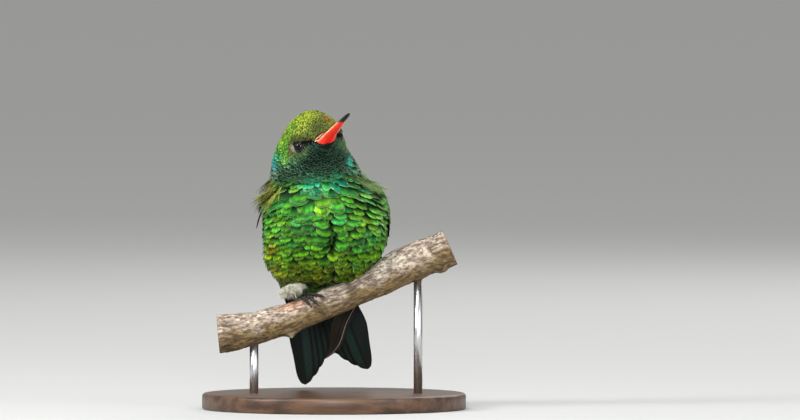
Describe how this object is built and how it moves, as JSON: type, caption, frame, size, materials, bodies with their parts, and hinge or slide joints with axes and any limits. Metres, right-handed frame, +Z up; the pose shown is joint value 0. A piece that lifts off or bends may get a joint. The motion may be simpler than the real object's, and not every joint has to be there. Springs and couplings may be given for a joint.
{
  "type": "hummingbird model",
  "caption": "Life-size perched hummingbird with iridescent green plumage, a straight red bill and a forked dark tail, gripping a cut branch on a small display stand.",
  "frame": {"origin": "centre of the stand base's flat underside", "axes": "+Z up, the bird's breast faces -Y, +X towards the bird's left side and the perch's higher end"},
  "size_m": [0.066, 0.066, 0.0751],
  "materials": {
    "plumage_green": "iridescent grass-green body feathers with yellow-green rims",
    "plumage_throat": "dark teal throat feathers that flash blue at the sides",
    "flight_feathers": "dusky brown wing quills with a pale leading shaft",
    "tail_feathers": "steel-blue black tail quills",
    "thigh_down": "loose white down",
    "bill": "smooth bright red horn with a black tip",
    "eye": "wet black",
    "foot": "dull black scales and claws",
    "perch_bark": "rough grey-brown bark with pale lichen, sawn ends",
    "stand_wood": "dark stained turned wood, satin",
    "stand_steel": "satin steel rod"
  },
  "bodies": {
    "root": {"head": "plumage_green", "trunk": "plumage_green", "tail_coverts": "plumage_green", "wing_left_arm": "plumage_green", "wing_right_arm": "plumage_green", "neck": "plumage_throat", "wing_left_secondaries": "flight_feathers", "wing_left_primaries": "flight_feathers", "wing_right_secondaries": "flight_feathers", "wing_right_primaries": "flight_feathers", "rectrix_left_1": "tail_feathers", "rectrix_left_2": "tail_feathers", "rectrix_left_3": "tail_feathers", "rectrix_left_4": "tail_feathers", "rectrix_left_5": "tail_feathers", "rectrix_right_1": "tail_feathers", "rectrix_right_2": "tail_feathers", "rectrix_right_3": "tail_feathers", "rectrix_right_4": "tail_feathers", "rectrix_right_5": "tail_feathers", "thigh_left": "thigh_down", "thigh_right": "thigh_down", "bill_upper": "bill", "bill_lower": "bill", "eye_left": "eye", "eye_right": "eye", "tarsus_left": "foot", "tarsus_right": "foot", "toe_left_1": "foot", "toe_left_2": "foot", "toe_left_3": "foot", "toe_left_4": "foot", "toe_right_1": "foot", "toe_right_2": "foot", "toe_right_3": "foot", "toe_right_4": "foot", "perch": "perch_bark", "stand_base": "stand_wood", "stand_rod_left": "stand_steel", "stand_rod_right": "stand_steel"}
  },
  "joints": []
}
